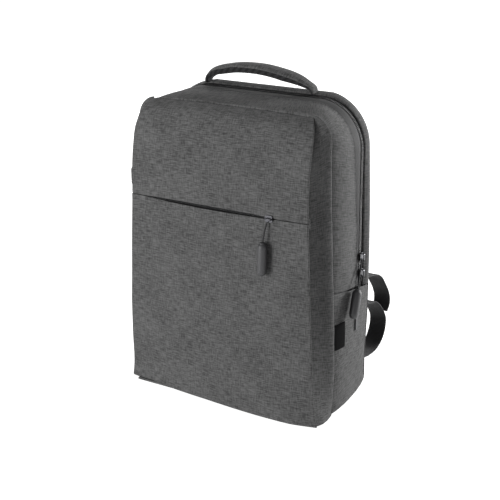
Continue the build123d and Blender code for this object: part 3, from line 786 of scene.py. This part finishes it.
def pocket_gusset(side, sign):
    rows = []
    mirror = np.array((sign, 1, 1))
    for r in range(PANEL_ROWS):
        crease, seam = edge_lines[sign][r].copy(), seam_path[r] * mirror
        crease[1] += foot_shift(crease[0], crease[2])
        way = seam - crease
        distance = np.linalg.norm(way)
        way = way / distance
        outward = seam_out[r] * mirror
        rise = outward - way * (outward @ way)
        rise = rise / np.linalg.norm(rise)
        scale = min(1.0, distance / 0.030)
        filled = 1 - 0.85 * math.exp(-(crease[2] / 0.030) ** 2)
        rows.append([crease + way * distance * share + rise * height * filled * MM * scale
                     for share, height in hollow])
    grid = np.array(rows)
    grid += uneven(grid, 0.03, 0.5 * MM, 21)[:, :, None] * np.array((1, 0, 0))
    sag = np.exp(-(grid[:, :, 2] / 0.022) ** 2)
    sag = sag * np.interp([share for share, _ in hollow], (0, 0.35, 0.7, 1), (0, 1, 0.8, 0.2))
    grid[:, :, 0] += sign * FOOT_SAG * sag
    grid[:, :, 2] = np.maximum(grid[:, :, 2], 0.3 * MM)
    piece = cloth_piece("pocket_gusset_cloth_" + side, grid, cloth_grey)
    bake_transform(piece, "bag", "front_cover", start=PANEL_START, end=PANEL_END)
    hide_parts("pocket_gusset_" + side, "pocket_gusset_lower_" + side)
    return piece


pocket_gusset("right", 1)
pocket_gusset("left", -1)

# %% [markdown]
# ## Main zipper
# A coil zipper is two woven tapes with a nylon coil sewn along each facing edge. The front tape shows
# widely here, because its gusset is sewn on well away from the coil. Each coil is drawn as a row of small
# rounded teeth, 1.9 mm apart, that mesh with the other row.

# %% Main zipper tapes
def tape_strip(name, lines, out, insets, material, thickness=0.8 * MM):
    grid = np.stack([line - out * (inset * MM) for line, inset in zip(lines, insets)], axis=1)
    return cloth_piece(name, grid, material, thickness=thickness, subdivide=0, turn_uv=True)


coil_front_y = Y_ZIP - 2.6 * MM
front_shares = (-0.35, 0.0, 0.25, 0.5, 0.75, 1.0)
coil_line, _ = hoop(coil_front_y)
front_tape_lines = [lip_line + (coil_line - lip_line) * s for s in front_shares]
front_tape = tape_strip("zipper_tape_front_weave", front_tape_lines, out, (2.8, 2.3, 1.9, 1.5, 1.2, 1.3),
                        tape_black)
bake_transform(front_tape, "bag", "front_cover", start=HINGE_START, end=HINGE_END)
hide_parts("zipper_tape_front")
rear_coil_line, _ = hoop(Y_ZIP + 2.6 * MM)
rear_tape_lines = [rear_coil_line + (rear_lip_line - rear_coil_line) * s for s in (-0.1, 0.5, 1.0, 1.6)]
rear_tape = tape_strip("zipper_tape_rear_weave", rear_tape_lines, out, (1.3, 1.4, 2.0, 2.8), tape_black)
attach(rear_tape, "bag")
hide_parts("zipper_tape_rear")


# %% Coil teeth
def teeth(name, path, across, out, pitch, length, radius, lift, material):
    """Rounded teeth along a path: across is each tooth's direction, out is the way it faces."""
    count = int(lengths(path)[-1] / pitch)
    spots, ways, outs = resample(path, count), resample(across, count), resample(out, count)
    vertices, faces = [], []
    sides = 6
    for spot, way, face in zip(spots, ways, outs):
        way = way / np.linalg.norm(way)
        face = face / np.linalg.norm(face)
        third = np.cross(way, face)
        first = len(vertices)
        for along, size in ((0, 0.7), (0.25, 1.0), (0.8, 1.0), (1.0, 0.6)):
            for k in range(sides):
                a = 2 * math.pi * k / sides
                ring = face * math.sin(a) * 0.9 + third * math.cos(a)
                vertices.append(spot + way * length * (along - 0.5) + ring * radius * size + face * lift)
        for ring in range(3):
            for k in range(sides):
                a, b = first + ring * sides + k, first + ring * sides + (k + 1) % sides
                faces.append((a, b, b + sides, a + sides))
        faces.append(tuple(first + k for k in reversed(range(sides))))
        faces.append(tuple(first + 3 * sides + k for k in range(sides)))
    mesh = bpy.data.meshes.new(name)
    mesh.from_pydata([tuple(v) for v in vertices], [], faces)
    mesh.update()
    print(name, "teeth", count)
    return new_object(name, mesh, material)


depth = np.tile(np.array((0.0, 1.0, 0.0)), (len(out), 1))
for half, sign in (("front", -1), ("rear", 1)):
    line, _ = hoop(Y_ZIP + sign * 1.5 * MM, ZIP_END_Z + (0 if sign < 0 else 0.95 * MM))
    coil = teeth("zipper_teeth_" + half, line, depth, out, 1.9 * MM, 3.0 * MM, 0.62 * MM, -0.9 * MM, coil_nylon)
    if half == "front":
        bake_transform(coil, "bag", "front_cover", start=HINGE_START, end=HINGE_END)
    else:
        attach(coil, "bag")
    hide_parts("zipper_coil_" + half)

# %% [markdown]
# ## Pocket zipper
# The pocket's coil and tapes lie behind the two lips and show as a dark line in the slit.

# %% Pocket zipper
coil_y = (pocket_low.y + pocket_high.y) / 2
for name, sign in (("upper", 1), ("lower", -1)):
    path = np.array([(x, coil_y, POCKET_Z + sign * 1.1 * MM) for x in np.linspace(SLIT_LEFT, SLIT_RIGHT, 60)])
    if sign > 0:
        path[:, 0] += 0.8 * MM
    up = np.tile(np.array((0.0, 0.0, 1.0)), (60, 1))
    front = np.tile(np.array((0.0, -1.0, 0.0)), (60, 1))
    coil = teeth("pocket_teeth_" + name, path, up, front, 1.6 * MM, 2.4 * MM, 0.5 * MM, 0.2 * MM, coil_nylon)
    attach(coil, "front_cover")
    if sign > 0:
        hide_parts("pocket_zipper_coil")

# %% [markdown]
# ## Stitching
# The lips along both zippers are topstitched about 2 mm from the fold, with 3 mm stitches in grey thread.

# %% Stitching
def stitches(name, path, out, thread, lift, pitch=3.0 * MM):
    along = np.gradient(path, axis=0)
    return teeth(name, path, along, out, pitch, 0.78 * pitch, 0.28 * MM, lift, thread)


def on_strip(front, rear, out, share, height_mm):
    """A line on a strip between two hoops, a share of the way across it."""
    return front + (rear - front) * share + out * height_mm * MM


LIP_THREAD_LIFT = 0.15 * MM
front_thread = stitches("lip_stitches_front", on_strip(front_line, lip_line, out, 0.965, 1.45), out,
                        thread_grey, LIP_THREAD_LIFT)
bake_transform(front_thread, "bag", "front_cover", start=HINGE_START, end=HINGE_END)
rear_thread = stitches("lip_stitches_rear", on_strip(rear_lip_line, back_line, out, 0.06, 1.35), out,
                       thread_grey, LIP_THREAD_LIFT)
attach(rear_thread, "bag")

# %% [markdown]
# ## Padded pieces and ribbons
# Every padded piece is a closed form along a line: a rounded section that swells in the middle and pulls in
# to its edges. Webbing is a thin flat ribbon along a line, with its long edges a hair thinner. Both take
# the body of the CAD node that they stand for.

# %% Bodies for new pieces
def stands_for(piece, node, slot_name, *more):
    """Ties a piece to the body of the CAD node it stands for."""
    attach(piece, body_of(frame["nodes"][node])[0])
    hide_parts(node, *more)
    return piece


# %% Padded forms
def padded_form(name, middle, across, face, half_widths, half_depths, material, under=None, edge=2.6, count=40,
                turned_share=-0.25):
    """A closed padded bar along middle. across and face are its section's two directions. edge shapes the
    section: 2 is an ellipse, more is squarer. under is a second material, for the faces whose normal's part
    along face is less than turned_share."""
    angles = np.linspace(0, 2 * math.pi, count, endpoint=False)
    wide = np.sign(np.cos(angles)) * np.abs(np.cos(angles)) ** (2 / edge)
    high = np.sign(np.sin(angles)) * np.abs(np.sin(angles)) ** (2 / edge)
    rows = [m + np.outer(wide * w, a) + np.outer(high * d, f)
            for m, a, f, w, d in zip(middle, across, face, half_widths, half_depths)]
    grid = np.array(rows)
    inside = grid.mean(axis=1)
    grid += (grid - inside[:, None]) * uneven(grid, 0.03, 0.05, 31)[:, :, None]
    caps = [np.tile(inside[row], (count, 1)) * (1 - share) + grid[row] * share
            for row, share in ((0, 0.02), (0, 0.6), (-1, 0.6), (-1, 0.02))]
    grid = np.concatenate([[caps[0], caps[1]], grid, [caps[2], caps[3]]])
    piece = cloth_piece(name, grid, material, thickness=0, closed=True, inside=inside.mean(axis=0))
    if under:
        piece.data.materials.append(under)
        for polygon in piece.data.polygons:
            nearest = int(np.argmin(((middle - np.array(polygon.center)) ** 2).sum(axis=1)))
            if polygon.normal @ Vector(face[nearest]) < turned_share:
                polygon.material_index = 1
    return piece


# %% Ribbons
def ribbon(name, points, middle_x, width, material, thickness=1.5 * MM, rows=90):
    """Webbing that bends in the Y-Z plane. Its two long edges are a hair thinner than its middle."""
    path = smooth_path([(middle_x, y, z) for y, z in points], rows)
    along = np.gradient(path, axis=0)
    up = np.cross(along, (1.0, 0, 0))
    up /= np.linalg.norm(up, axis=1)[:, None]
    columns = [path + np.array((share * width / 2, 0, 0)) - up * droop * MM
               for share, droop in ((-1, 0.35), (-0.93, 0.1), (-0.5, 0), (0, 0), (0.5, 0), (0.93, 0.1),
                                    (1, 0.35))]
    grid = np.stack(columns, axis=1)
    return cloth_piece(name, grid, material, thickness=thickness, subdivide=1, inside=path.mean(axis=0))


# %% [markdown]
# ## Handle
# The handle is a padded arch, sewn down at both ends, where it narrows. Its lower half is faced with black
# tape woven in slanting ribs. One padded form takes both materials, and a separate strip of tape lies under
# it.

# %% Handle
low_grip, high_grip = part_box("handle_grip")
GRIP_X, GRIP_Y = (low_grip.x + high_grip.x) / 2, (low_grip.y + high_grip.y) / 2
ARCH = ((-84, 406.0), (-82.5, 412.0), (-76, 418.6), (-46, 428.3), (-4, 431.5), (38, 426.5), (68, 418.4),
        (80, 412.0), (82, 406.0))
arch_line = smooth_path([(GRIP_X + (x + 1) * MM, GRIP_Y, (z - 1.4) * MM) for x, z in ARCH], 90)
arch_along = np.gradient(arch_line, axis=0)
arch_up = np.cross(arch_along, (0, 1.0, 0))
arch_up *= np.sign(arch_up[45, 2]) / np.linalg.norm(arch_up, axis=1)[:, None]
half_grip = np.interp(arch_line[:, 2], (0.407, 0.4154, 0.4245), np.array((7.5, 9.0, 14.0)) * MM)
half_pad = np.interp(arch_line[:, 2], (0.407, 0.4154, 0.4245), np.array((2.4, 3.8, 6.2)) * MM)
deep = np.tile(np.array((0.0, 1.0, 0.0)), (90, 1))
grip = padded_form("handle_padded_grip", arch_line, deep, arch_up, half_grip, half_pad, cloth_grey,
                   under=handle_rib, edge=2.7, turned_share=0.25)
stands_for(grip, "handle_grip", "melange_cloth")
under_line = arch_line - arch_up * (half_pad - 0.2 * MM)[:, None]
under_grid = np.stack([under_line + deep * (half_grip * share)[:, None] + arch_up * lift * MM
                       for share, lift in ((-0.9, 0.9), (-0.82, 0), (-0.4, -0.5), (0, -0.6), (0.4, -0.5),
                                           (0.82, 0), (0.9, 0.9))], axis=1)
ABOVE_HANDLE = np.array((0, 0.05, 0.6))
under_tape = cloth_piece("handle_under_tape", under_grid, handle_rib, thickness=1.2 * MM, inside=ABOVE_HANDLE)
stands_for(under_tape, "handle_underside", "black_webbing")

# %% [markdown]
# ## Pulls
# Each pull is a rubber tube over a doubled cord. It has a small collar at the top, where the cord goes in,
# and a rounded end with the knot's dimple.

# %% Pull tubes
def turned_form(name, top, bottom, profile, material, sides=40):
    """A round form from top to bottom. Each row of profile is a share of the way down and a radius."""
    top, bottom = np.array(top), np.array(bottom)
    axis = bottom - top
    side = np.cross(axis, (0.0, 1.0, 0.3))
    side /= np.linalg.norm(side)
    other = np.cross(axis / np.linalg.norm(axis), side)
    angles = np.linspace(0, 2 * math.pi, sides, endpoint=False)
    ring = np.outer(np.cos(angles), side) + np.outer(np.sin(angles), other)
    grid = np.array([top + axis * share + radius * ring for share, radius in profile])
    return cloth_piece(name, grid, material, thickness=0, closed=True, inside=(top + bottom) / 2)


# Each pair is a share of the way down the tube and a share of its radius.
COLLAR = ((0.0, 0.1), (0.0, 0.45), (0.004, 0.56), (0.02, 0.60), (0.035, 0.60), (0.045, 0.70), (0.075, 0.86))
BARREL = ((0.12, 0.97), (0.20, 1.0), (0.40, 1.0), (0.62, 1.0), (0.78, 0.99), (0.87, 0.95), (0.93, 0.84))
DIMPLED_END = ((0.97, 0.64), (0.99, 0.40), (0.995, 0.22), (0.985, 0.16), (0.975, 0.02))
for node, slant in (("main_pull_tube_upper", (-0.5, 6.5)), ("pocket_pull_tube", (0.5, 0.25))):
    low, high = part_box(node)
    middle = (low + high) / 2
    radius = (high.x - low.x) / 2 - abs(slant[0]) / 2 * MM
    lean_x, lean_y = slant[0] * MM, slant[1] * MM
    top = (middle.x + lean_x, middle.y + lean_y, high.z)
    bottom = (middle.x - lean_x, middle.y - lean_y, low.z)
    profile = [(share, radius * size) for share, size in COLLAR + BARREL + DIMPLED_END]
    tube = turned_form(node + "_rubber", top, bottom, profile, pull_rubber)
    stands_for(tube, node, "pull_rubber")

# %% [markdown]
# ## Side label
# The label is a folded piece of woven tape, caught in the seam at its front edge and laid on the gusset.

# %% Side label
def lie_on(piece, grid, lift):
    """Moves a grid of points along X on to a piece's right side, and lift above it."""
    for index in np.ndindex(grid.shape[:2]):
        start = Vector((0.2, grid[index][1], grid[index][2]))
        hit, place, _, _ = piece.ray_cast(start, Vector((-1, 0, 0)))
        if hit:
            grid[index][0] = place.x + lift
    return grid


low_label, high_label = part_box("side_label")
label_grid = np.array([[(0.15, y, z) for y in np.linspace(low_label.y - 5 * MM, high_label.y - 7 * MM, 12)]
                       for z in np.linspace(low_label.z, high_label.z, 12)])
label_grid = lie_on(lower_gusset, label_grid, 1.0 * MM)
label = cloth_piece("side_label_tape", label_grid, label_black, thickness=0.9 * MM)
stands_for(label, "side_label", "label_cloth")

# %% [markdown]
# ## Back panel
# Air mesh over foam covers the back. Two raised pads run down either side of an open air channel. The whole
# panel is one sheet of points in the outline of the bag's back, and its height is worked out from the two
# pads.

# %% Back panel
low_pads, high_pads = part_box("back_padding")
BACK_FACE, PAD_FACE = high_panel.y, high_pads.y
PAD_MIDDLE, PAD_HALF = 0.062, 0.052
PAD_LOW, PAD_HIGH = low_pads.z, high_pads.z
_, back_top, back_corner, back_foot = at_depth(Y_BACK)


def back_half_width(z):
    if z > back_top - back_corner:
        rise = (z - back_top + back_corner) / back_corner
        return HALF_BACK - back_corner * (1 - math.sqrt(max(0, 1 - rise * rise)))
    if z < back_foot:
        drop = 1 - z / back_foot
        return HALF_BACK - back_foot * (1 - math.sqrt(max(0, 1 - drop * drop)))
    return HALF_BACK + float(back_swell(z)) - 0.0005 * min(1.0, z / 0.05)


def rounded(distance, radius):
    """0 at an edge, 1 from radius inwards, with a quarter-round between."""
    share = np.clip(distance / radius, 0, 1)
    return np.sqrt(1 - (1 - share) ** 2)


def back_height(x, z):
    """Depth of the back's surface: edge roll, two pads, and quilted channels across them."""
    border = np.minimum(back_half_width(z) - abs(x), np.minimum(back_top - z, z))
    base = Y_BACK + 1.5 * MM + (BACK_FACE - Y_BACK - 1.0 * MM) * rounded(border, 5 * MM)
    inset = np.minimum(PAD_HALF - abs(abs(x) - PAD_MIDDLE), np.minimum(PAD_HIGH - z, z - PAD_LOW))
    pad = (PAD_FACE - BACK_FACE + 1.5 * MM) * rounded(inset, 16 * MM)
    channel = sum(math.exp(-((z - c) / 0.004) ** 2) for c in np.linspace(PAD_LOW, PAD_HIGH, 6)[1:-1])
    return base + max(0.0, pad) * (1 - 0.55 * min(1.0, channel))


back_rows = []
for z in np.concatenate([np.linspace(0.001, 0.03, 14, endpoint=False),
                         np.linspace(0.03, 0.37, 150, endpoint=False),
                         np.linspace(0.37, back_top - 1 * MM, 22)]):
    shares = np.sin(np.linspace(-1, 1, 120) * math.pi / 2 * 0.86) / math.sin(math.pi / 2 * 0.86)
    back_rows.append([(x, back_height(x, z), z) for x in shares * back_half_width(z)])
back_grid = np.array(back_rows)
back_cloth = cloth_piece("back_air_mesh", back_grid, air_mesh, thickness=2.0 * MM, subdivide=0)
stands_for(back_cloth, "back_panel", "air_mesh", "back_padding")

# %% [markdown]
# ## Yoke and lower tabs
# A strip of the outer cloth holds both straps' roots, and two small tabs are for the webbing's ends. Their
# edges are turned under, which the sheet shows as a small quarter-round at its border.

# %% Yoke and tabs
def patch(name, node, outline, face_y, thickness):
    """A sewn-on piece of cloth on the back: rows of (z, lowest x, highest x), soft at its border."""
    rows = []
    for z, low_x, high_x in outline:
        for_row = []
        for share in np.linspace(0, 1, 40):
            x = low_x + (high_x - low_x) * share
            edge = min(x - low_x, high_x - x, z - outline[0][0], outline[-1][0] - z)
            for_row.append((x, face_y + thickness * float(rounded(edge, 3 * MM)) - 0.3 * MM, z))
        rows.append(for_row)
    piece = cloth_piece(name, np.array(rows), cloth_grey, thickness=1.0 * MM, subdivide=0)
    return stands_for(piece, node, "melange_cloth")


def outline_rows(corners, count=26):
    """Rows between a few (z, lowest x, highest x) stops."""
    z, low_x, high_x = np.array(corners).T
    close = np.array((0.6, 1.4, 2.4)) * MM      # extra rows, where the border turns under
    levels = np.sort(np.concatenate([np.linspace(z[0], z[-1], count), z[0] + close, z[-1] - close]))
    return [(level, float(np.interp(level, z, low_x)), float(np.interp(level, z, high_x))) for level in levels]


low_yoke, high_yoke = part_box("strap_yoke")
yoke_stops = [(z, low_yoke.x, high_yoke.x) for z in (low_yoke.z, high_yoke.z)]
patch("strap_yoke_cloth", "strap_yoke", outline_rows(yoke_stops), low_yoke.y, high_yoke.y - low_yoke.y)
TAB_LEAN_OUT, TAB_LEAN_IN = 10 * MM, 6 * MM
for side, sign in (("left", -1), ("right", 1)):
    low_tab, high_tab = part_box("lower_tab_" + side)
    lean_low, lean_high = (TAB_LEAN_OUT, TAB_LEAN_IN) if sign > 0 else (TAB_LEAN_IN, TAB_LEAN_OUT)
    stops = [(low_tab.z, low_tab.x, high_tab.x), (low_tab.z + 12 * MM, low_tab.x, high_tab.x),
             (high_tab.z, low_tab.x + lean_low, high_tab.x - lean_high)]
    patch("lower_tab_cloth_" + side, "lower_tab_" + side, outline_rows(stops), low_tab.y,
          high_tab.y - low_tab.y)

# %% [markdown]
# ## Shoulder straps
# Each strap is foam between the outer cloth and air mesh. It leaves the yoke, stands a little off the back,
# and narrows towards the webbing loop.

# %% Shoulder straps
STRAP_LINE = ((75.6, 381), (82.5, 350), (86.8, 318), (88.3, 285), (87.8, 255), (85.8, 220), (82.6, 180))
STRAP_SPLAY = math.radians(13)
STRAP_ROOT = (0.068, 0.374)
for side, sign in (("left", -1), ("right", 1)):
    flat_line = smooth_path([(0, y * MM, z * MM) for y, z in STRAP_LINE], 80)
    turn = np.array(Matrix.Rotation(-sign * STRAP_SPLAY, 3, "Y"))
    root = np.array((0, 0, STRAP_ROOT[1]))
    strap_middle = (flat_line - root) @ turn.T + root + np.array((sign * STRAP_ROOT[0], 0, 0))
    strap_across = np.tile(turn @ np.array((1.0, 0, 0)), (80, 1))
    strap_face = np.cross(np.gradient(strap_middle, axis=0), strap_across)
    strap_face /= np.linalg.norm(strap_face, axis=1)[:, None]
    strap_face *= np.sign(strap_face[40, 1])
    half_width = np.interp(flat_line[:, 2], (0.175, 0.205, 0.31, 0.4), np.array((15.5, 20, 30.5, 31)) * MM)
    half_depth = np.interp(flat_line[:, 2], (0.175, 0.20, 0.36, 0.385), np.array((3.2, 5.6, 5.6, 4.0)) * MM)
    strap = padded_form("shoulder_strap_padded_" + side, strap_middle, strap_across, strap_face, half_width,
                        half_depth, cloth_grey, under=air_mesh, edge=3.0)
    stands_for(strap, "shoulder_strap_" + side, "melange_cloth")

# %% [markdown]
# ## Webbing
# A short loop of webbing belongs between each strap and its ladder buckle. The long webbing starts just
# below the buckle, swings out behind the bag and stops just short of the lower tab; its spare end curls out
# above it.

# %% Webbing
LOOP_LINE = ((82.5, 178.5), (86.8, 173), (88.2, 165), (87.6, 157.8), (84, 155.2), (80.4, 157.8),
             (80.0, 166), (81.6, 176.5))
MAIN_LINE = ((86.0, 133), (90.5, 122), (99, 113.5), (112, 107.5), (129, 104), (143, 94), (155.5, 80),
             (162.3, 67), (160.5, 52), (150, 37.5), (134, 30), (116, 28.6), (96, 31), (72.5, 36))
TAIL_LINE = ((96.5, 149.2), (108, 148.2), (120, 146), (134, 142.5), (146, 135), (158, 121), (168, 107.5),
             (173, 96), (173, 87), (165.5, 76.5))
WEBS = (("webbing_loop_", "strap_loop_", LOOP_LINE), ("webbing_run_", "strap_webbing_", MAIN_LINE),
        ("webbing_end_", "webbing_tail_", TAIL_LINE))
for side in ("left", "right"):
    low_web, high_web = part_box("strap_webbing_" + side)
    middle_x, width = (low_web.x + high_web.x) / 2, high_web.x - low_web.x
    for name, node, line in WEBS:
        web = ribbon(name + side, [(y * MM, z * MM) for y, z in line], middle_x, width, webbing_black)
        stands_for(web, node + side, "black_webbing")

# %% [markdown]
# ## The pieces that are right as they are
# Sliders, buckles, the outlet, the cords and the hidden linings already have their real shape in the CAD
# frame. They only take the finish of what they are made of.

# %% Materials for the CAD pieces that stay
def dress(material, *names):
    for name in names:
        piece = frame["nodes"][name]
        piece.data.materials.clear()
        piece.data.materials.append(material)


dress(lining_black, "back_lining", "laptop_sleeve", "pocket_divider", "pocket_divider_lower", "sleeve_strap")
dress(cloth_grey_fine, "pocket_floor")
dress(board_grey, "base_board")
dress(tape_black, "pocket_zipper_tape", "zipper_stops")
dress(acetal, "outlet_housing", "outlet_flap", "outlet_tongue")
dress(plated_zinc, "outlet_shell")
dress(plated_zinc_dark, "main_slider_upper", "main_slider_lower", "pocket_slider")
dress(pull_rubber, "main_pull_tab_lower")
dress(cord_black, "main_pull_cord_upper", "main_pull_cord_lower", "pocket_pull_cord")
dress(acetal, "ladder_buckle_left", "ladder_buckle_right")
print("CAD pieces that stay", sum(not node.hide_render for node in frame["nodes"].values()))

# %% [markdown]
# ## Floor
# The floor is one wide sheet under the bag.

# %% Floor
floor_mesh = bpy.data.meshes.new("floor")
floor_mesh.from_pydata([(-40, -40, 0), (40, -40, 0), (40, 40, 0), (-40, 40, 0)], [], [(0, 1, 2, 3)])
floor = new_object("studio_floor", floor_mesh, floor_white)
floor.visible_diffuse = False   # the white sweep doesn't throw light back up on the cloth
